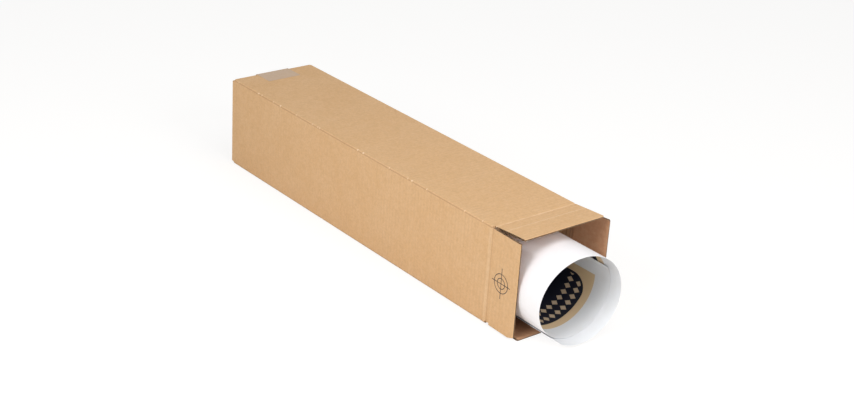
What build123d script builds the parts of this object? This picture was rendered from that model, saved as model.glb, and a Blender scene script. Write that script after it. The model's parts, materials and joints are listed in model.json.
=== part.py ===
# A long square postal box of corrugated board, lying on its side, with a rolled poster in it.
# The closed end points to +Y and the mouth to -Y. The origin is the middle of the underside
# of the panels, on the table. Sizes are in millimetres and degrees.
from build123d import *
import os
from math import acos, cos, exp, pi, radians, sin

# Box: outside sizes, from the closed end's outer face to the creases at the mouth
width = 120.0
height = 116.0
length = 518.0

# Corrugated board: two liners with a wavy medium glued between them
board = 2.5
liner = 0.35
medium = 0.28
flute_pitch = 5.5
glue_bite = 0.10
arcs_per_flute = 3
fold_inside = 0.6

# Glued seam: a tab of the bottom panel, turned up inside the right panel
tab_width = 30.0
tab_inset = 12.0

# Closed end: two flaps folded in, and two over them that meet at the middle
end_flap_gap = 1.0
end_side_gap = 0.5
layer_gap = 0.3
end_slot = 3.0

# Mouth: four flaps standing out, with a punched slot beside one of the two at each corner
flap_length = 46.0
bottom_flap_length = 48.5
hinge_gap = 0.15
crush = 0.6
crush_reach = 2.2
slot_width = 4.5
slot_lip = 1.3
top_lip = 2.0
slot_end = 3.5
slot_depth = 1.8
relief = 5.0
relief_height = 2.2
top_opening_angle = 4.0
left_opening_angle = 1.5
right_opening_angle = 12.0
second_crease = 16.0
crease_width = 1.6
crease_depth = 0.2
flute_free_edge = 0.64
corner_cut = 9.0
corner_rise = 3.0
small_cut = 1.0
small_rise = 1.5

# Tape over the closed end
tape_width = 48.0
tape_tail = 32.0
tape = 0.12
tape_bend = 3.0

# Poster: one sheet in a loose, slightly flattened roll whose turns have slid apart
sheet = 0.4
sheet_length = 500.0
roll_side_room = 8.0
roll_top_room = 9.6
roll_clearance = 0.3
roll_out = 94.5
turns = 1.42
outer_edge_angle = -125.0
turn_gap = 1.0
slide_per_turn = 16.0
lean_to_right = 3.0
lean_upwards = 1.0
edge_lift = 1.6
edge_lift_angle = 18.0
points_per_turn = 24

os.makedirs("parts", exist_ok=True)

mouth_y = -length / 2
end_y = length / 2
inner_layer_y = end_y - board - layer_gap
inner_width = width - 2 * board
inner_height = height - 2 * board


# Box body: one creased sheet, folded round, glued along a corner and closed at the far end
with BuildPart() as box_body:
    with BuildSketch(Plane.XZ.offset(-inner_layer_y)):
        with Locations((0, height / 2)):
            RectangleRounded(width, height, board)
            RectangleRounded(inner_width, inner_height, fold_inside, mode=Mode.SUBTRACT)
    extrude(amount=inner_layer_y - mouth_y)

    # inner pair of end flaps, on the top and bottom panels
    reach = (height - end_flap_gap) / 2
    with BuildSketch(Plane.XZ.offset(-inner_layer_y)):
        with Locations((0, reach / 2), (0, height - reach / 2)):
            Rectangle(inner_width - 2 * end_side_gap, reach)
    extrude(amount=board)
    end_folds = box_body.edges().filter_by(Axis.X).group_by(Axis.Y)[-1]
    fillet([end_folds.sort_by(Axis.Z)[0], end_folds.sort_by(Axis.Z)[-1]], 0.8 * board)

    # glue tab
    tab_end = inner_layer_y - board - tab_inset
    with BuildSketch(Plane.XY.offset(board / 2)):
        with Locations((width / 2 - 1.5 * board, (mouth_y + tab_inset + tab_end) / 2)):
            Rectangle(board, tab_end - mouth_y - tab_inset)
    extrude(amount=tab_width)

    # punched slots at the corners, at the closed end and a little way in from the mouth
    for slot, slot_y, reach_in in ((end_slot, inner_layer_y, end_slot), (slot_end, mouth_y, slot_depth)):
        for floor in (0, height - slot):
            with BuildSketch(Plane.XY.offset(floor)):
                with Locations((slot / 2 - width / 2, slot_y), (width / 2 - slot / 2, slot_y)):
                    Rectangle(slot, 2 * reach_in)
            extrude(amount=slot, mode=Mode.SUBTRACT)

    # outer pair of end flaps, on the side panels
    for side in (-1, 1):
        outer_x = side * width / 2
        inner_x = side * (width / 2 - board)
        meet_x = side * end_flap_gap / 2
        with BuildSketch(Plane.XY.offset(end_slot)):
            with BuildLine():
                FilletPolyline(
                    (outer_x, inner_layer_y - board),
                    (outer_x, end_y),
                    (meet_x, end_y),
                    radius=board,
                )
                Polyline(
                    (meet_x, end_y),
                    (meet_x, end_y - board),
                    (inner_x, end_y - board),
                    (inner_x, inner_layer_y - board),
                    (outer_x, inner_layer_y - board),
                )
            make_face()
        extrude(amount=height - 2 * end_slot)

    # the tape is pressed into the underside, so that the box still lies flat
    with BuildSketch(Plane.XY):
        with Locations((0, end_y - tape_tail / 2)):
            Rectangle(tape_width, tape_tail)
    extrude(amount=tape, mode=Mode.SUBTRACT)
box_body.part.label = "box_body"


# Closing tape: one strip over the middle of the closed end and down onto two panels
with BuildPart() as closing_tape:
    with BuildSketch(Plane.YZ.offset(-tape_width / 2)):
        with Locations((0, (height + tape) / 2)):
            RectangleRounded(length + 2 * tape, height + tape, tape_bend + tape)
            RectangleRounded(length, height - tape, tape_bend, mode=Mode.SUBTRACT)
        with Locations((-tape_tail, height / 2)):
            Rectangle(length, 2 * height, mode=Mode.SUBTRACT)
    extrude(amount=tape_width)
closing_tape.part.label = "closing_tape"


def flap_plane(corner, outward, opening):
    """Plane across the flutes at the edge where a flap starts: x runs out along the flap
    and y points to its outer face. Opening turns the flap outwards about its crease."""
    straight = Vector(0, -1, 0)
    out = Vector(*outward)
    turn = radians(opening)
    along_flap = straight * cos(turn) + out * sin(turn)
    to_outer_face = out * cos(turn) - straight * sin(turn)
    return Plane(origin=corner, x_dir=along_flap, z_dir=along_flap.cross(to_outer_face))


def fluted_flap(side, reach, run, creased=False):
    """A flap with its true section: liners, wavy medium, crushed root and open cut edges."""
    core = board - 2 * liner
    swing = core / 2 - medium / 2 + glue_bite
    glue_line = flute_pitch / (2 * pi) * acos((core / 2 - medium / 2) / swing)
    flutes = int((reach - crush_reach) / flute_pitch - flute_free_edge)
    with BuildSketch(side) as section:
        with BuildLine():
            Polyline(
                (hinge_gap, 0),
                (reach, 0),
                (reach, -board),
                (hinge_gap + crush, -board),
                (hinge_gap, crush_reach - board),
                close=True,
            )
        make_face()
        for face in (1, -1):
            for flute in range(flutes + (face == 1)):
                back = flute + flute_free_edge + (0 if face == 1 else 0.5)
                start = reach - back * flute_pitch
                wave = []
                for point in range(2 * arcs_per_flute + 1):
                    x = glue_line + (flute_pitch - 2 * glue_line) * point / (2 * arcs_per_flute)
                    rise = swing * cos(2 * pi * x / flute_pitch) + medium / 2
                    wave.append((start + x, face * rise - board / 2))
                with BuildLine():
                    for first in range(0, 2 * arcs_per_flute, 2):
                        ThreePointArc(*wave[first : first + 3])
                    Line(wave[-1], wave[0])
                make_face(mode=Mode.SUBTRACT)
        if creased:
            with BuildLine():
                Polyline(
                    (second_crease - crease_width / 2, 0),
                    (second_crease, -crease_depth),
                    (second_crease + crease_width / 2, 0),
                    close=True,
                )
            make_face(mode=Mode.SUBTRACT)
    extrude(section.sketch, amount=run)


def outer_face(side):
    """Plane on a flap's outer face: x runs out along the flap, y along its crease."""
    return Plane(origin=side.origin, x_dir=side.x_dir, z_dir=-side.y_dir)


def trim_corner(side, reach, edge, cut, rise):
    """Takes a free corner off a flap, by a length along the flap and one inwards across it."""
    with BuildSketch(outer_face(side)) as corner:
        with BuildLine():
            Polyline((reach - cut, edge), (reach, edge), (reach, edge + rise), close=True)
        make_face()
    extrude(corner.sketch, amount=board, mode=Mode.SUBTRACT)


def relieve_root(side, edge):
    """Widens the slot beside a flap's root, where the punch went in."""
    with BuildSketch(outer_face(side)) as punch:
        with Locations((0, edge)):
            Rectangle(2 * relief, 2 * relief_height)
    extrude(punch.sketch, amount=board, mode=Mode.SUBTRACT)


# Mouth flaps: the side flaps are nearly as wide as their panels, and the slots lie beside
# the top and bottom flaps, and beside the right flap at its upper corner
top_run = width - top_lip - slot_width
left_run = height - 2 * slot_lip
bottom_run = width - 2 * slot_width
right_run = height - slot_lip - slot_width

top_side = flap_plane((width / 2 - top_lip, mouth_y, height), (0, 0, 1), top_opening_angle)
with BuildPart() as top_flap:
    fluted_flap(top_side, flap_length, top_run, creased=True)
    trim_corner(top_side, flap_length, 0, small_cut, small_rise)
top_flap.part.label = "top_flap"

left_side = flap_plane((-width / 2, mouth_y, height - slot_lip), (-1, 0, 0), left_opening_angle)
with BuildPart() as left_flap:
    fluted_flap(left_side, flap_length, left_run)
    trim_corner(left_side, flap_length, left_run, corner_cut, -corner_rise)
    relieve_root(left_side, left_run)
left_flap.part.label = "left_flap"

bottom_side = flap_plane((slot_width - width / 2, mouth_y, 0), (0, 0, -1), 0)
with BuildPart() as bottom_flap:
    fluted_flap(bottom_side, bottom_flap_length, bottom_run)
    trim_corner(bottom_side, bottom_flap_length, 0, small_cut, small_rise)
    trim_corner(bottom_side, bottom_flap_length, bottom_run, small_cut, -small_rise)
bottom_flap.part.label = "bottom_flap"

right_side = flap_plane((width / 2, mouth_y, slot_lip), (1, 0, 0), right_opening_angle)
with BuildPart() as right_flap:
    fluted_flap(right_side, flap_length, right_run)
    trim_corner(right_side, flap_length, right_run, small_cut, -small_rise)
    relieve_root(right_side, 0)
right_flap.part.label = "right_flap"


# Poster roll: the sheet winds inwards from its outer edge, low on the left, and every turn
# sits a little further back than the one around it. Its ends lean a little, so that the right
# side stands further out. It lies on the floor of the box, against the left panel.
roll_half_width = (inner_width - roll_side_room) / 2
roll_half_height = (inner_height - roll_top_room) / 2
turn_pitch = sheet + turn_gap
left_of_start = (180 - outer_edge_angle) / 360
roll_x = roll_half_width - turn_pitch * left_of_start + roll_clearance + board - width / 2
roll_z = roll_half_height + roll_clearance + board


def sheet_edge(start_y):
    """Points along one cut end of the rolled sheet, at the middle of its thickness."""
    count = int(turns * points_per_turn)
    points = []
    for step in range(count + 1):
        turned = 360 * turns * step / count
        shrink = turn_pitch * turned / 360 - edge_lift * exp(-turned / edge_lift_angle) + sheet / 2
        angle = radians(outer_edge_angle + turned)
        x = roll_x + (roll_half_width - shrink) * cos(angle)
        z = roll_z + (roll_half_height - shrink) * sin(angle)
        lean = lean_to_right * cos(angle) + lean_upwards * sin(angle)
        points.append((x, start_y + slide_per_turn * turned / 360 - lean, z))
    return points


with BuildPart() as poster_roll:
    with BuildLine() as front_edge:
        Spline(*sheet_edge(mouth_y - roll_out))
    with BuildLine() as back_edge:
        Spline(*sheet_edge(mouth_y - roll_out + sheet_length))
    winding = Face.make_surface_from_curves(front_edge.edge(), back_edge.edge())
    thicken(winding, amount=sheet / 2, both=True)
poster_roll.part.label = "poster_roll"


export_step(box_body.part, "parts/box_body.step")
export_step(closing_tape.part, "parts/closing_tape.step")
export_step(top_flap.part, "parts/top_flap.step")
export_step(bottom_flap.part, "parts/bottom_flap.step")
export_step(left_flap.part, "parts/left_flap.step")
export_step(right_flap.part, "parts/right_flap.step")
export_step(poster_roll.part, "parts/poster_roll.step")
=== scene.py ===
# A long square postal box of corrugated board with a rolled poster in it, dressed around its
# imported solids. Metres; X across the box, +Y towards the closed end, Z up, the box lying at Z = 0.
import json
from math import atan2, cos, degrees, exp, pi, radians, sin, tau

import bpy
from mathutils import Matrix, Vector, noise


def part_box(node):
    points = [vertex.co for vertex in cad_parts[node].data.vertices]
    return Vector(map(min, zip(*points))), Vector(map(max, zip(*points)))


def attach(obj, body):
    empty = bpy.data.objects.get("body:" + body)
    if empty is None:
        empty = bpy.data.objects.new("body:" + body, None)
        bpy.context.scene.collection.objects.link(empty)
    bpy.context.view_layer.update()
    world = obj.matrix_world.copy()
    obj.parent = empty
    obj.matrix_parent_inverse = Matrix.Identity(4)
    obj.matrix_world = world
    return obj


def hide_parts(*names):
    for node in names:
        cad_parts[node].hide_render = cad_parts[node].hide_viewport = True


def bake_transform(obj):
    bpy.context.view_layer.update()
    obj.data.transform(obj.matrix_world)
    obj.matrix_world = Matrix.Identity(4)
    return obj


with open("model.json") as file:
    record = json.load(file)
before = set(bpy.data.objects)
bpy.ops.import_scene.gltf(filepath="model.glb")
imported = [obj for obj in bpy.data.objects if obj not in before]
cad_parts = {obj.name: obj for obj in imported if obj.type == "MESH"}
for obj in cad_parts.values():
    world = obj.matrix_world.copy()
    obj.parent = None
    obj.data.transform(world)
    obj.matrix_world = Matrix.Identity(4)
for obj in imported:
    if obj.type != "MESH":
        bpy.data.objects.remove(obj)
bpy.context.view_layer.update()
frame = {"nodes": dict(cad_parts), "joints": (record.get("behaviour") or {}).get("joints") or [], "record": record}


# The box: one sheet of single-wall board, creased and folded round into four long panels and
# glued along a corner. The flutes run round the box, so the liner shows faint ridges across
# each panel, and the long corners are scored, crushed and here and there cracked.
board_low, board_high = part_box("box_body")
mouth_y = board_low.y
half_width = board_high.x
box_height = board_high.z
board = 0.0025
liner = 0.0003
flute_pitch = 0.0055
cuts_per_flute = 4
ridge_depth = 0.00008
corner_radius = 0.0025
slot_depth = 0.0018
score_depth, score_drop = 0.00035, 0.3
score_angle, score_spread = 30, 16
crush_least, crush_swing, crush_rate = 0.75, 0.6, 45
crack_rate, crack_drift, crack_drift_rate = 260, 0.4, 18
crack_level = 0.36
score_painted_shade, cracked_tone = -0.75, 0.6
side_band, side_band_depth = 0.0055, 0.0004
top_band, top_band_depth = 0.0030, 0.00035
side_band_painted_highlight = 0.22
on_face = 0.00002
merge_distance = 0.000001
flat_angle, smooth_angle = radians(1), radians(35)
facing = 0.9
first_cut = 0.0005
crease_back = slot_depth + on_face


def only(piece):
    """Selects one piece alone and makes it the active one."""
    bpy.ops.object.select_all(action="DESELECT")
    piece.select_set(True)
    bpy.context.view_layer.objects.active = piece


def copy_of_solid(node, name):
    """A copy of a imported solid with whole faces, ready to be cut and shaped."""
    piece = bpy.data.objects.new(name, frame["nodes"][node].data.copy())
    bpy.context.collection.objects.link(piece)
    piece.data.materials.clear()
    only(piece)
    bpy.ops.mesh.customdata_custom_splitnormals_clear()
    bpy.ops.object.mode_set(mode="EDIT")
    bpy.ops.mesh.select_all(action="SELECT")
    bpy.ops.mesh.remove_doubles(threshold=merge_distance)
    bpy.ops.mesh.dissolve_limited(angle_limit=flat_angle)
    bpy.ops.object.mode_set(mode="OBJECT")
    return piece


def cut_into_steps(start, stop, step, along):
    """Cuts the piece in edit mode across a direction, step by step."""
    for index in range(int((stop - start) / step) + 1):
        bpy.ops.mesh.select_all(action="SELECT")
        bpy.ops.mesh.bisect(plane_co=Vector(along) * (start + index * step), plane_no=along)


def ridge(distance):
    """How far the liner sags between the flute tips that it is glued to."""
    return ridge_depth * (1 - cos(tau * distance / flute_pitch)) / 2


def fold_sink(distance, band, depth):
    """How far the board is pressed in beside the crease of a flap."""
    return depth * max(0, 1 - distance / band) ** 2


def finish_board(piece, wear_and_light_tone):
    """Writes each point's wear, painted shade and painted highlight for the material, and gives the piece its
    finishes.
    """
    attribute = piece.data.attributes.new("wear_and_painted_light", "FLOAT", "POINT")
    attribute.data.foreach_set("value", wear_and_light_tone)
    for material in (outer_liner, inner_liner_painted_shade, cut_edge, flute_hollow_painted_shade):
        piece.data.materials.append(material)
    only(piece)
    bpy.ops.object.shade_smooth_by_angle(angle=smooth_angle)


panels = copy_of_solid("box_body", "panels")
bpy.ops.object.mode_set(mode="EDIT")
bpy.ops.mesh.select_mode(type="EDGE")
bpy.ops.mesh.select_all(action="SELECT")
bpy.ops.mesh.bisect(
    plane_co=(0, mouth_y + crease_back, 0),
    plane_no=(0, 1, 0),
    clear_inner=True,
    threshold=merge_distance,
)
bpy.ops.mesh.select_all(action="DESELECT")
bpy.ops.mesh.select_non_manifold(
    use_wire=False, use_multi_face=False, use_non_contiguous=False, use_verts=False
)
bpy.ops.mesh.bridge_edge_loops()
flute_step = flute_pitch / cuts_per_flute
cut_into_steps(mouth_y + crease_back + first_cut, board_high.y - board, flute_step, (0, 1, 0))
bpy.ops.object.mode_set(mode="OBJECT")

panel_wear_and_light = []
for point in panels.data.vertices:
    x, y, z = point.co
    side, level = (1 if x > 0 else -1), (1 if z > box_height / 2 else -1)
    across = abs(x) - (half_width - corner_radius)
    up = abs(z - box_height / 2) - (box_height / 2 - corner_radius)
    from_mouth = y - mouth_y
    wear_and_light = 0
    if across > on_face and up > on_face:
        angle = degrees(atan2(up, across))
        crushed = exp(-(((angle - score_angle) / score_spread) ** 2))
        uneven = crush_least + crush_swing * noise.noise(Vector((side, y * crush_rate, level)))
        point.co.x -= side * score_depth * crushed * uneven
        point.co.z -= level * score_depth * crushed * uneven * score_drop
        crack = noise.noise(Vector((side * 3, y * crack_rate, level * 3)))
        crack += crack_drift * noise.noise(Vector((side, y * crack_drift_rate, level)))
        # The score is painted darker along its groove as painted shade; where its skin has cracked it is pale.
        wear_and_light = score_painted_shade * crushed
        if crack > crack_level and angle > score_angle:
            wear_and_light = cracked_tone
    elif abs(across - corner_radius) < on_face:
        point.co.x -= side * (ridge(from_mouth) + fold_sink(from_mouth, side_band, side_band_depth))
        # A paler band before the side fold: painted highlight on the pressed band.
        wear_and_light = side_band_painted_highlight * (from_mouth < side_band)
    elif abs(up - corner_radius) < on_face:
        point.co.z -= level * (ridge(from_mouth) + fold_sink(from_mouth, top_band, top_band_depth))
    elif abs(across - corner_radius + board) < on_face and up < 0:
        point.co.x += side * ridge(from_mouth + flute_pitch / 2)
    elif abs(up - corner_radius + board) < on_face and across < 0:
        point.co.z += level * ridge(from_mouth + flute_pitch / 2)
    panel_wear_and_light.append(wear_and_light)


# Kraft board: brown recycled liner, matt, with cloudy colour, short dark fibres and pale flecks.
# At the flute pitch it is banded darker, most near the mouth: painted shade of the washboard ridges.
# Score lines are painted darker as shade in their groove, and the liner is pale where its skin has
# cracked; the folds get painted highlights in that pale colour. Cut edges are darker, partly raw
# fibre and partly painted shade of the flutes. The medium in the flute hollows is painted darkest,
# as shade, and the inside liner is a darker, redder copy: painted shade for the box's inside.
kraft = (0.655, 0.408, 0.205, 1)
# Darker, redder copy of the kraft for the inside faces: painted shade for the unlit inside of the box.
inside_kraft_painted_shade = (0.47, 0.24, 0.13, 1)
kraft_pale = (0.80, 0.58, 0.37, 1)
kraft_dark_and_shade = (0.36, 0.20, 0.10, 1)
cracked_and_highlight = (0.92, 0.76, 0.56, 1)
# Cut edges: darker, partly the raw fibre and partly painted shade of the flute hollows behind them.
raw_edge_and_shade = (0.30, 0.18, 0.10, 1)
# The medium in the flute hollows is near black: painted shade inside the flutes.
painted_shade_medium = (0.10, 0.055, 0.03, 1)
cloud_grain, patch_grain, blotch_grain = 22.0, 90.0, 190.0
mottle_grain, fibre_grain, fleck_grain = 420.0, 1500.0, 3200.0
cloud_share, patch_share, blotch_share = 0.10, 0.05, 0.12
mottle_share, fibre_share, fleck_share = 0.17, 0.16, 0.22
fibre_stretch = 0.22
band_wander = 0.0012
bands_strong_at, bands_weak_at = -0.28, 0.1
strong_bands, weak_bands = 1.6, 0.7
outer_washboard_shade, inner_washboard_shade = 0.06, 0.05
facing_the_end = 0.7
wear_and_light_share = 0.8
fleck_relief, relief_strength, relief_depth = 0.7, 0.25, 0.00015
board_smoothest, board_roughest, board_shine = 0.72, 0.86, 0.35


def add_node(tree, kind, inputs=(), **settings):
    """A node of a material, with its settings made and its inputs set or linked."""
    made = tree.nodes.new("ShaderNode" + kind)
    for name, value in settings.items():
        setattr(made, name, value)
    for socket, value in dict(inputs).items():
        if isinstance(value, bpy.types.NodeSocket):
            tree.links.new(value, made.inputs[socket])
        else:
            made.inputs[socket].default_value = value
    return made


def sum_up(tree, operation, *values):
    """The result of a Math node."""
    return add_node(tree, "Math", enumerate(values), operation=operation).outputs[0]


def ramp(tree, value, low, high, to_low=0.0, to_high=1.0):
    """A value taken from one range to another, with soft ends."""
    inputs = {"Value": value, "From Min": low, "From Max": high, "To Min": to_low, "To Max": to_high}
    return add_node(tree, "MapRange", inputs, interpolation_type="SMOOTHSTEP").outputs["Result"]


def blend_colours(tree, share, first, second):
    """The second colour laid over the first by a share."""
    inputs = {0: share, 6: first, 7: second}
    return add_node(tree, "Mix", inputs, data_type="RGBA").outputs[2]


def grain(tree, place, scale, detail=3.0):
    """Noise of a given fineness, in features for each metre."""
    inputs = {"Vector": place, "Scale": scale, "Detail": detail}
    return add_node(tree, "TexNoise", inputs).outputs["Fac"]


def new_material(name):
    """An empty material and its tree, with a Principled surface."""
    material = bpy.data.materials.new(name)
    material.use_nodes = True
    return material, material.node_tree, material.node_tree.nodes["Principled BSDF"]


def kraft_material(name, ground, washboard_shade_strength):
    """Board liner or cut edge on Object coordinates, with painted washboard shade of a given strength."""
    material, tree, surface = new_material(name)
    coordinates = add_node(tree, "TexCoord")
    place = coordinates.outputs["Object"]
    split = add_node(tree, "SeparateXYZ", {0: place})
    direction = add_node(tree, "SeparateXYZ", {0: coordinates.outputs["Normal"]})
    turned_to_end = sum_up(tree, "ABSOLUTE", direction.outputs["Y"])
    on_end = sum_up(tree, "GREATER_THAN", turned_to_end, facing_the_end)
    chosen = {0: on_end, 2: split.outputs["Y"], 3: split.outputs["X"]}
    across_flutes = add_node(tree, "Mix", chosen).outputs[0]
    clouds = grain(tree, place, cloud_grain)
    patches = grain(tree, place, patch_grain)
    wandering = sum_up(tree, "ADD", across_flutes, sum_up(tree, "MULTIPLY", patches, band_wander))
    bands = sum_up(tree, "SINE", sum_up(tree, "MULTIPLY", wandering, tau / flute_pitch))
    mottle = grain(tree, place, mottle_grain, 2.0)
    blotches = grain(tree, place, blotch_grain, 2.0)
    stretch = {"Vector": place, "Scale": (1.0, fibre_stretch, 1.0)}
    fibres = grain(tree, add_node(tree, "Mapping", stretch).outputs[0], fibre_grain, 2.0)
    flecks = grain(tree, place, fleck_grain, 2.0)

    colour = blend_colours(tree, ramp(tree, clouds, 0.35, 0.7, 0.0, cloud_share), ground, kraft_pale)
    colour = blend_colours(tree, ramp(tree, patches, 0.4, 0.75, 0.0, patch_share), colour, kraft_dark_and_shade)
    colour = blend_colours(tree, ramp(tree, mottle, 0.35, 0.7, 0.0, mottle_share), colour, kraft_dark_and_shade)
    colour = blend_colours(tree, ramp(tree, blotches, 0.35, 0.7, 0.0, blotch_share), colour, kraft_pale)
    colour = blend_colours(tree, ramp(tree, fibres, 0.55, 0.75, 0.0, fibre_share), colour, kraft_dark_and_shade)
    colour = blend_colours(tree, ramp(tree, flecks, 0.55, 0.8, 0.0, fleck_share), colour, kraft_pale)
    # Painted shade of the washboard ridges: darker bands at the flute pitch, strongest near the mouth.
    near_mouth, far_off = strong_bands * washboard_shade_strength, weak_bands * washboard_shade_strength
    by_place = ramp(tree, split.outputs["Y"], bands_strong_at, bands_weak_at, near_mouth, far_off)
    strength = sum_up(tree, "MULTIPLY", ramp(tree, clouds, 0.3, 0.7, 0.4, 1.0), by_place)
    painted_washboard_shade = sum_up(tree, "MULTIPLY", ramp(tree, bands, -1.0, 1.0), strength)
    colour = blend_colours(tree, painted_washboard_shade, colour, kraft_dark_and_shade)
    # Negative tones are painted shade in score lines and side folds; positive ones are pale cracks and painted
    # highlights on the folds.
    wear_and_light_tone = add_node(tree, "Attribute", attribute_name="wear_and_painted_light").outputs["Fac"]
    colour = blend_colours(tree, ramp(tree, wear_and_light_tone, 0.0, -1.0, 0.0, wear_and_light_share), colour, kraft_dark_and_shade)
    colour = blend_colours(tree, ramp(tree, wear_and_light_tone, 0.0, 1.0, 0.0, wear_and_light_share), colour, cracked_and_highlight)

    roughness = ramp(tree, patches, 0.3, 0.7, board_smoothest, board_roughest)
    relief = sum_up(tree, "ADD", fibres, sum_up(tree, "MULTIPLY", flecks, fleck_relief))
    raised = {"Height": relief, "Strength": relief_strength, "Distance": relief_depth}
    tree.links.new(colour, surface.inputs["Base Color"])
    tree.links.new(roughness, surface.inputs["Roughness"])
    tree.links.new(add_node(tree, "Bump", raised).outputs[0], surface.inputs["Normal"])
    surface.inputs["Specular IOR Level"].default_value = board_shine
    return material


outer_liner = kraft_material("kraft_liner", kraft, outer_washboard_shade)
inner_liner_painted_shade = kraft_material("kraft_inner_liner", inside_kraft_painted_shade, inner_washboard_shade)
cut_edge = kraft_material("kraft_cut_edge", raw_edge_and_shade, 0.0)
flute_hollow_painted_shade = kraft_material("kraft_medium_painted_shade", painted_shade_medium, 0.0)
inside_x, inside_z = half_width - board, box_height / 2 - board
# Faces inside the tube take the inside copy of the kraft, which is painted shade.
for face in panels.data.polygons:
    middle = face.center
    within = abs(middle.x) < inside_x + on_face and abs(middle.z - box_height / 2) < inside_z + on_face
    face.material_index = int(within and middle.y < board_high.y - 2 * board)
finish_board(panels, panel_wear_and_light)
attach(panels, "box")
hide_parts("box_body")


# The mouth flaps: the ends of the four panels, cut apart at the corners. Each is fluted board
# with open cut edges, and it turns at a crease where the board is pressed thin. The crease is
# a strip of its own here, bent once to the flap's opening and left in place.
crease_reach = 0.0025
crease_steps = 14
crease_columns = 28
fold_line_depth, fold_line_width = 0.00022, 0.0008
fold_swing, fold_rate, fold_seed = 0.5, 120, 50
# Fold tones: the side folds' dark line is painted shade, the top folds' pale lines are painted highlights.
side_fold_painted_shade, top_fold_painted_highlight = -0.45, 0.40
second_crease, second_crease_width, second_crease_painted_highlight = 0.016, 0.0007, 0.45
inside_crush, inside_crush_width = 0.0005, 0.0011
last_cut = 0.0004
edge_fray, fray_along, fray_through = 0.00012, 300, 900
pressed_reach, pressed_share = 0.0022, 0.5
pressed_swing, pressed_rate = 0.3, 90
bend_length = 0.001
straight_out = Vector((0, -1, 0))
flap_places = {}


def add_block(name, size, middle):
    """A plain block with its place in its mesh, ready to be cut and shaped."""
    bpy.ops.object.select_all(action="DESELECT")
    bpy.ops.mesh.primitive_cube_add(size=1)
    block = bpy.context.object
    block.name = name
    block.data.transform(Matrix.Diagonal((*size, 1)))
    block.data.transform(Matrix.Translation(middle))
    return block


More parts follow.
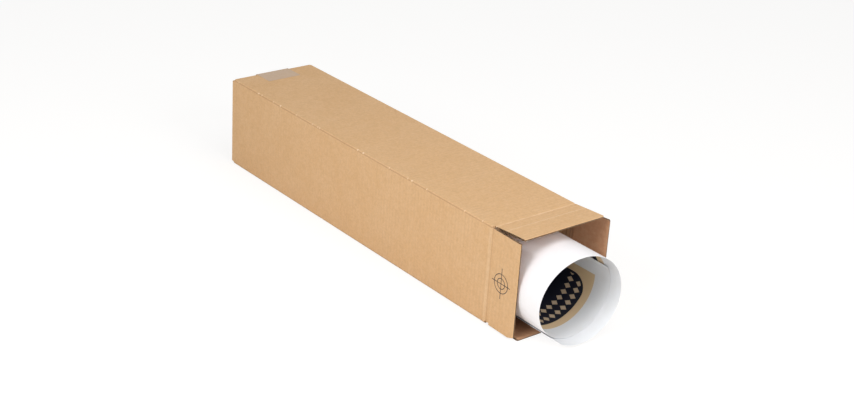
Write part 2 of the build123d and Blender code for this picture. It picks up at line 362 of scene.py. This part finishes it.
for joint in frame["joints"]:
    body = joint["child"]
    node = frame["record"]["behaviour"]["bodies"][body][0]
    hinge, axis = Vector(joint["pos_m"]), Vector(joint["axis"])
    opening = -radians(joint["range_deg"][0])
    outward = axis.cross(straight_out)
    along = straight_out * cos(opening) + outward * sin(opening)
    to_outer_face = outward * cos(opening) - straight_out * sin(opening)
    place = Matrix((along, to_outer_face, along.cross(to_outer_face))).transposed().to_4x4()
    place.translation = hinge
    flap_places[node] = place

    flap = copy_of_solid(node, node.replace("_flap", "_flap_board"))
    flap.data.transform(place.inverted())
    flap_end = max(point.co.x for point in flap.data.vertices)
    bpy.ops.object.mode_set(mode="EDIT")
    bpy.ops.mesh.select_all(action="SELECT")
    bpy.ops.mesh.bisect(
        plane_co=(crease_reach, 0, 0), plane_no=(1, 0, 0), clear_inner=True, use_fill=True
    )
    cut_into_steps(crease_reach + first_cut, flap_end - last_cut, flute_step, (1, 0, 0))
    bpy.ops.object.mode_set(mode="OBJECT")
    for face in flap.data.polygons:
        on_outside = face.normal.y > facing and face.center.y > -liner
        on_inside = face.normal.y < -facing and face.center.y < liner - board
        on_cut = abs(face.normal.z) > facing or face.normal.x > facing
        face.material_index = 0 if on_outside else 1 if on_inside else 2 if on_cut else 3
    root = [point.co.z for point in flap.data.vertices if point.co.x < crease_reach + on_face]
    run_start, run_end = min(root), max(root)
    flap_painted_highlight = []
    for point in flap.data.vertices:
        x, y, z = point.co
        if abs(y) < on_face:
            point.co.y -= ridge(x)
        elif abs(y + board) < on_face:
            point.co.y += ridge(x + flute_pitch / 2)
        pressed = pressed_share * max(0, 1 - (flap_end - x) / pressed_reach)
        uneven = 1 + pressed_swing * noise.noise(Vector((z * pressed_rate, 0, 0)))
        point.co.y += (-board / 2 - point.co.y) * pressed * uneven
        if x > flap_end - on_face:
            frayed = 1 + noise.noise(Vector((z * fray_along, y * fray_through, 0)))
            point.co.x -= edge_fray * frayed
        # The top flap's second crease gets a pale line: painted highlight on its ridge.
        on_second = exp(-(((x - second_crease) / second_crease_width) ** 2)) * (node == "top_flap")
        flap_painted_highlight.append(second_crease_painted_highlight * on_second * (y > -board / 2))
    flap.data.transform(place)
    finish_board(flap, flap_painted_highlight)
    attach(flap, body)
    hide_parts(node)

    run_axis = straight_out.cross(outward)
    is_side = abs(outward.x) > 0.5
    band, band_depth = (side_band, side_band_depth) if is_side else (top_band, top_band_depth)
    crease_length, run = crease_reach + crease_back, run_end - run_start
    middle = ((crease_reach - crease_back) / 2, -board / 2, (run_start + run_end) / 2)
    crease = add_block(node.replace("_flap", "_crease"), (crease_length, board, run), middle)
    bpy.ops.object.mode_set(mode="EDIT")
    cut_into_steps(-crease_back, crease_reach, crease_length / crease_steps, (1, 0, 0))
    column_width = run / crease_columns
    cut_into_steps(run_start + column_width, run_end - column_width / 2, column_width, (0, 0, 1))
    bpy.ops.object.mode_set(mode="OBJECT")
    wear_and_painted_light = []
    point_is_inside = [point.co.y < -board / 2 for point in crease.data.vertices]
    for point in crease.data.vertices:
        x, y, z = point.co
        seed = Vector((z * fold_rate, hinge.x * fold_seed, hinge.z * fold_seed))
        uneven = 1 + fold_swing * noise.noise(seed)
        line = exp(-((x / fold_line_width) ** 2)) * uneven
        if y > -board / 2:
            sink_band = band if x < 0 else crease_reach
            point.co.y -= fold_sink(abs(x), sink_band, band_depth) + fold_line_depth * line
        else:
            point.co.y += inside_crush * exp(-((x / inside_crush_width) ** 2)) * uneven
        turned = opening * min(1, max(0, 0.5 + x / bend_length))
        bend = Matrix.Rotation(turned, 4, axis)
        flat = straight_out * point.co.x + outward * point.co.y + run_axis * z
        point.co = hinge + bend @ flat
        # Side folds: a painted shade line with a painted highlight band before it; top folds: a painted highlight
        # line.
        if is_side:
            wear_and_painted_light.append(side_fold_painted_shade * line + side_band_painted_highlight * (x < -fold_line_width))
        else:
            wear_and_painted_light.append(top_fold_painted_highlight * line)
    for face in crease.data.polygons:
        on_cut = abs(face.normal.dot(run_axis)) > facing
        on_inside = all(point_is_inside[index] for index in face.vertices)
        face.material_index = 1 if on_inside else 2 if on_cut else 0
    finish_board(crease, wear_and_painted_light)
    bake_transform(crease)


# Closing tape: one strip of thin clear film over the middle of the closed end, pressed down on
# the top and bottom panels. The board shows through it, greyer.
tape_low, tape_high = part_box("closing_tape")
tape_film = 0.00012
tape_bend, tape_bend_steps = 0.003, 6
tape_teeth, tape_tooth_depth = 0.0016, 0.00045
tape_sink, tape_sink_width = 0.00025, 0.0012
tape_columns = 60
long_edge = 0.01
tape = add_block("closing_tape_film", tape_high - tape_low, (tape_low + tape_high) / 2)
bpy.ops.object.mode_set(mode="EDIT")
bpy.ops.mesh.select_mode(type="FACE")
bpy.ops.mesh.select_all(action="DESELECT")
bpy.ops.object.mode_set(mode="OBJECT")
for face in tape.data.polygons:
    face.select = abs(face.normal.x) > facing or face.normal.y < -facing
bpy.ops.object.mode_set(mode="EDIT")
bpy.ops.mesh.delete(type="FACE")
bpy.ops.mesh.select_mode(type="EDGE")
bpy.ops.mesh.select_all(action="DESELECT")
bpy.ops.object.mode_set(mode="OBJECT")
for edge in tape.data.edges:
    ends = [tape.data.vertices[index].co for index in edge.vertices]
    at_end = all(end.y > tape_high.y - on_face for end in ends)
    edge.select = at_end and abs(ends[0].x - ends[1].x) > long_edge
bpy.ops.object.mode_set(mode="EDIT")
bpy.ops.mesh.bevel(offset=tape_bend, segments=tape_bend_steps, affect="EDGES")
column_width = (tape_high.x - tape_low.x) / tape_columns
cut_into_steps(tape_low.x + column_width, tape_high.x - column_width / 2, column_width, (1, 0, 0))
bpy.ops.object.mode_set(mode="OBJECT")
for point in tape.data.vertices:
    if point.co.y < tape_low.y + on_face:
        tooth = abs((point.co.x / tape_teeth) % 1 - 0.5) * 2
        point.co.y += tape_tooth_depth * tooth
    if point.co.y > tape_high.y - on_face:
        point.co.y -= tape_sink * exp(-((point.co.x / tape_sink_width) ** 2))
only(tape)
solidify = tape.modifiers.new("film", "SOLIDIFY")
solidify.thickness = tape_film
solidify.offset = -1
bpy.ops.object.modifier_apply(modifier="film")
bpy.ops.object.shade_smooth_by_angle(angle=smooth_angle)

tape_grey = (0.50, 0.35, 0.23, 1)
tape_light = (0.53, 0.375, 0.25, 1)
board_shows_grain, air_grain = 900.0, 260.0
tape_pale_share = 0.5
film_smoothest, film_roughest = 0.42, 0.55
film_strength, film_depth = 0.1, 0.0001
film_finish, tree, surface = new_material("tape_film")
place = add_node(tree, "TexCoord").outputs["Object"]
trapped_air = grain(tree, place, air_grain)
board_shows = ramp(tree, grain(tree, place, board_shows_grain), 0.4, 0.7, 0.0, tape_pale_share)
tape_colour = blend_colours(tree, board_shows, tape_grey, tape_light)
pale_spots = ramp(tree, trapped_air, 0.55, 0.7, 0.0, tape_pale_share)
tape_colour = blend_colours(tree, pale_spots, tape_colour, tape_light)
tape_roughness = ramp(tree, trapped_air, 0.3, 0.7, film_smoothest, film_roughest)
raised = {"Height": trapped_air, "Strength": film_strength, "Distance": film_depth}
tree.links.new(tape_colour, surface.inputs["Base Color"])
tree.links.new(tape_roughness, surface.inputs["Roughness"])
tree.links.new(add_node(tree, "Bump", raised).outputs[0], surface.inputs["Normal"])
tape.data.materials.append(film_finish)
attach(tape, "box")
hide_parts("closing_tape")


# Printer's register mark on the left flap: two rings and a cross in thin black ink, printed on
# the flat board before it was cut and creased.
mark_from_fold = 0.020
mark_radii, ring_points = (0.0115, 0.0065), (64, 48)
mark_line = 0.00085
mark_reach_along, mark_reach_up = 0.015, 0.018
ink_depth = 0.00004
ink_grain, ink_gaps, ink_roughness = 2500.0, 0.5, 0.6
bpy.ops.object.select_all(action="DESELECT")
for radius, points in zip(mark_radii, ring_points):
    bpy.ops.mesh.primitive_circle_add(vertices=points, radius=radius, fill_type="NGON")
    bpy.ops.object.mode_set(mode="EDIT")
    bpy.ops.mesh.inset(thickness=mark_line)
    bpy.ops.mesh.delete(type="FACE")
for width_along, width_up in ((2 * mark_reach_along, mark_line), (mark_line, 2 * mark_reach_up)):
    bpy.ops.mesh.primitive_plane_add(size=1)
    bpy.ops.transform.resize(value=(width_along, width_up, 1), center_override=(0, 0, 0))
bpy.ops.mesh.select_all(action="SELECT")
bpy.ops.mesh.extrude_region_move(TRANSFORM_OT_translate={"value": (0, 0, ink_depth)})
bpy.ops.object.mode_set(mode="OBJECT")
mark = bpy.context.object
mark.name = "printed_mark"
mark.data.transform(Matrix.Rotation(-pi / 2, 4, "X"))
mark.data.transform(Matrix.Translation((mark_from_fold, 0, 0)))
mark.data.transform(flap_places["left_flap"])

ink = (0.035, 0.03, 0.028, 1)
ink_finish, tree, surface = new_material("black_ink")
place = add_node(tree, "TexCoord").outputs["Object"]
patchy = ramp(tree, grain(tree, place, ink_grain), 0.55, 0.75, 0.0, ink_gaps)
tree.links.new(blend_colours(tree, patchy, ink, kraft_dark_and_shade), surface.inputs["Base Color"])
surface.inputs["Roughness"].default_value = ink_roughness
mark.data.materials.append(ink_finish)
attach(mark, "left_side_flap")


# The poster: one sheet of heavy white paper, printed on its inner side, in a loose roll. It
# winds inwards from its outer edge, low on the left, and every turn has slid a little further
# back. It lies on the floor of the box, against the left panel.
sheet = 0.0004
sheet_length = 0.500
turns = 1.42
turn_gap = 0.001
slide_per_turn = 0.016
roll_out = 0.0945
lean_to_right, lean_upwards = 0.003, 0.001
outer_edge_angle = -125
edge_lift, edge_lift_angle = 0.0003, 18
roll_half_width, roll_half_height = 0.0535, 0.0507
clearance = 0.0003
turn_pitch = sheet + turn_gap
wound_by_left = turn_pitch * (180 - outer_edge_angle) / 360
roll_x = roll_half_width - wound_by_left + clearance + board - half_width
roll_z = roll_half_height + clearance + board
steps_round, steps_long = 220, 40
bpy.ops.object.select_all(action="DESELECT")
bpy.ops.mesh.primitive_grid_add(x_subdivisions=steps_round, y_subdivisions=steps_long, size=1)
roll = bpy.context.object
roll.name = "rolled_poster"
for point in roll.data.vertices:
    turned = 360 * turns * (point.co.x + 0.5)
    length_along = sheet_length * (point.co.y + 0.5)
    shrink = turn_pitch * turned / 360 - edge_lift * exp(-turned / edge_lift_angle)
    angle = radians(outer_edge_angle + turned)
    lean = lean_to_right * cos(angle) + lean_upwards * sin(angle)
    point.co = (
        roll_x + (roll_half_width - shrink) * cos(angle),
        mouth_y - roll_out + slide_per_turn * turned / 360 - lean + length_along,
        roll_z + (roll_half_height - shrink) * sin(angle),
    )
only(roll)
bpy.ops.object.mode_set(mode="EDIT")
bpy.ops.mesh.select_all(action="SELECT")
bpy.ops.mesh.flip_normals()
bpy.ops.object.mode_set(mode="OBJECT")
paper = (0.90, 0.885, 0.905, 1)
# The printed inner side is a darker, bluer copy of the paper: painted shade for the inside of the roll.
paper_inside_painted_shade = (0.88, 0.90, 0.93, 1)
paper_shade = (0.84, 0.84, 0.835, 1)
print_tan = (0.80, 0.60, 0.37, 1)
print_black = (0.017, 0.018, 0.032, 1)
print_pale = (0.66, 0.52, 0.36, 1)
sheet_round = turns * tau * (roll_half_width - turn_pitch * turns / 2)
print_margin = 0.023
panel_margin = 0.010
panel_corner = 0.022
motif_margin = 0.003
lozenge_pitch, lozenge_high, lozenge_wide = 0.0085, 0.0052, 0.0034
lozenge_rows = (0.0425, 0.0565)
wave_length, wave_height = 0.060, 0.006
stripe_pitch, stripe_half_width = 0.011, 0.0016
stripes_at, stripes_reach = 0.088, 0.0135
paper_tooth, tooth_strength, tooth_depth = 1500.0, 0.08, 0.0001
paper_clouds, paper_cloud_share = 60.0, 0.3
plain_roughness, printed_roughness, paper_shine = 0.5, 0.42, 0.4


def distance_from(tree, value, place):
    """How far a value is from a place, to either side."""
    return sum_up(tree, "ABSOLUTE", sum_up(tree, "SUBTRACT", value, place))


def paper_material(name, printed):
    """White paper on the sheet's own UV map, in metres, with or without the print; the printed side's paper has
    painted shade.
    """
    material, tree, surface = new_material(name)
    uv = add_node(tree, "UVMap")
    unrolled = {"Vector": uv.outputs[0], "Scale": (sheet_round, sheet_length, 1.0)}
    flat = add_node(tree, "Mapping", unrolled).outputs[0]
    tooth = grain(tree, flat, paper_tooth, 2.0)
    clouds = ramp(tree, grain(tree, flat, paper_clouds), 0.4, 0.7, 0.0, paper_cloud_share)
    colour = blend_colours(tree, clouds, paper_inside_painted_shade if printed else paper, paper_shade)
    if printed:
        split = add_node(tree, "SeparateXYZ", {0: flat})
        centre = (sheet_round / 2, sheet_length / 2)
        from_edge = []
        for axis, half in zip(("X", "Y"), centre):
            off = distance_from(tree, split.outputs[axis], half)
            from_edge.append(sum_up(tree, "SUBTRACT", half, off))
        nearest = sum_up(tree, "MINIMUM", *from_edge)
        field = sum_up(tree, "GREATER_THAN", nearest, print_margin)
        inner = print_margin + panel_margin + panel_corner
        squares = []
        for edge in from_edge:
            past = sum_up(tree, "MAXIMUM", sum_up(tree, "SUBTRACT", inner, edge), 0.0)
            squares.append(sum_up(tree, "POWER", past, 2.0))
        corner = sum_up(tree, "SQRT", sum_up(tree, "ADD", *squares))
        dark = sum_up(tree, "LESS_THAN", corner, panel_corner)
        wave = sum_up(tree, "SINE", sum_up(tree, "MULTIPLY", split.outputs["X"], tau / wave_length))
        swell = sum_up(tree, "ADD", split.outputs["Y"], sum_up(tree, "MULTIPLY", wave, wave_height))
        stripe = sum_up(tree, "PINGPONG", swell, stripe_pitch)
        stripes = sum_up(tree, "LESS_THAN", stripe, stripe_half_width)
        in_band = sum_up(tree, "LESS_THAN", distance_from(tree, swell, stripes_at), stripes_reach)
        colour = blend_colours(tree, field, colour, print_tan)
        colour = blend_colours(tree, dark, colour, print_black)
        pale = sum_up(tree, "MULTIPLY", stripes, in_band)
        to_lozenge = sum_up(tree, "PINGPONG", split.outputs["X"], lozenge_pitch / 2)
        across = sum_up(tree, "DIVIDE", to_lozenge, lozenge_wide)
        for row in lozenge_rows:
            off_row = distance_from(tree, split.outputs["Y"], row)
            reach = sum_up(tree, "ADD", across, sum_up(tree, "DIVIDE", off_row, lozenge_high))
            pale = sum_up(tree, "MAXIMUM", pale, sum_up(tree, "LESS_THAN", reach, 1.0))
        well_inside = sum_up(tree, "LESS_THAN", corner, panel_corner - motif_margin)
        motif = sum_up(tree, "MULTIPLY", pale, well_inside)
        colour = blend_colours(tree, motif, colour, print_pale)
    raised = {"Height": tooth, "Strength": tooth_strength, "Distance": tooth_depth}
    tree.links.new(colour, surface.inputs["Base Color"])
    tree.links.new(add_node(tree, "Bump", raised).outputs[0], surface.inputs["Normal"])
    surface.inputs["Roughness"].default_value = printed_roughness if printed else plain_roughness
    surface.inputs["Specular IOR Level"].default_value = paper_shine
    return material


roll.data.materials.append(paper_material("poster_back", False))
roll.data.materials.append(paper_material("poster_print", True))
thickness = roll.modifiers.new("sheet", "SOLIDIFY")
thickness.thickness = sheet
thickness.offset = -1
thickness.material_offset = 1
bpy.ops.object.modifier_apply(modifier="sheet")
bpy.ops.object.shade_smooth_by_angle(angle=smooth_angle)
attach(roll, "box")
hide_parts("poster_roll")


# The place it is shown in: a plain white floor, a softbox on the left, one overhead and one in
# front of the mouth, a pale surround, and a camera that looks down at the mouth from its left.
floor_side, floor_roughness = 12, 0.9
floor_colour = (0.92, 0.895, 0.86, 1)
floor_glow, floor_glow_share = 1.1, 0.72
surround_light = 0.395
white = (1, 1, 1, 1)
lamps_aim_at = Vector((0, 0, 0.06))


def seen_directly(tree):
    """One for what the camera, a mirror or a glass sees, none for what lights the object."""
    rays = add_node(tree, "LightPath")
    seen = sum_up(tree, "MAXIMUM", rays.outputs["Is Camera Ray"], rays.outputs["Is Glossy Ray"])
    return sum_up(tree, "MAXIMUM", seen, rays.outputs["Is Transmission Ray"])


bpy.ops.object.select_all(action="DESELECT")
bpy.ops.mesh.primitive_plane_add(size=floor_side)
floor = bpy.context.object
floor.name = "floor"
floor_finish, tree, surface = new_material("white_floor")
surface.inputs["Base Color"].default_value = floor_colour
surface.inputs["Roughness"].default_value = floor_roughness
surface.inputs["Specular IOR Level"].default_value = 0.0
glow = add_node(tree, "Emission", {"Color": white, "Strength": floor_glow})
glow_share = sum_up(tree, "MULTIPLY", seen_directly(tree), floor_glow_share)
lift = add_node(tree, "MixShader", {0: glow_share, 1: surface.outputs[0], 2: glow.outputs[0]})
tree.links.new(lift.outputs[0], tree.nodes["Material Output"].inputs["Surface"])
floor.data.materials.append(floor_finish)


def hang_softbox(name, energy, size, spot):
    """A square lamp of a given side, turned towards the box."""
    softbox = bpy.data.lights.new(name, "AREA")
    softbox.energy = energy
    softbox.size = size
    lamp = bpy.data.objects.new(name, softbox)
    bpy.context.collection.objects.link(lamp)
    lamp.location = spot
    lamp.rotation_euler = (lamps_aim_at - lamp.location).to_track_quat("-Z", "Y").to_euler()


hang_softbox("left_softbox", energy=10, size=0.5, spot=(-1.2, -0.4, 0.9))
hang_softbox("overhead_softbox", energy=7.5, size=1.0, spot=(0.0, -0.8, 1.6))
hang_softbox("front_softbox", energy=15, size=0.8, spot=(0.1, -1.9, 1.1))

world = bpy.data.worlds.new("studio")
bpy.context.scene.world = world
world.use_nodes = True
tree = world.node_tree
backdrop = tree.nodes["Background"]
backdrop.inputs["Color"].default_value = white
surround = ramp(tree, seen_directly(tree), 0.0, 1.0, surround_light, 1.0)
tree.links.new(surround, backdrop.inputs["Strength"])

photo_width = 854
focal_pixels = 1592.8
sensor_width = 36
camera_spot = Vector((-1.0852, -1.3829, 0.8265))
azimuth, elevation, roll_angle = radians(-39.69), radians(24.41), radians(3.675)
back = Vector((sin(azimuth) * cos(elevation), -cos(azimuth) * cos(elevation), sin(elevation)))
level_right = (-back).cross(Vector((0, 0, 1))).normalized()
level_up = level_right.cross(-back)
image_right = level_right * cos(roll_angle) + level_up * sin(roll_angle)
image_up = level_up * cos(roll_angle) - level_right * sin(roll_angle)
camera_data = bpy.data.cameras.new("camera")
camera_data.sensor_width = sensor_width
camera_data.lens = focal_pixels * sensor_width / photo_width
camera = bpy.data.objects.new("camera", camera_data)
bpy.context.collection.objects.link(camera)
camera.matrix_world = Matrix.Translation(camera_spot) @ Matrix(
    (image_right, image_up, back)
).transposed().to_4x4()
bpy.context.scene.camera = camera
bpy.context.scene.view_settings.view_transform = "Standard"
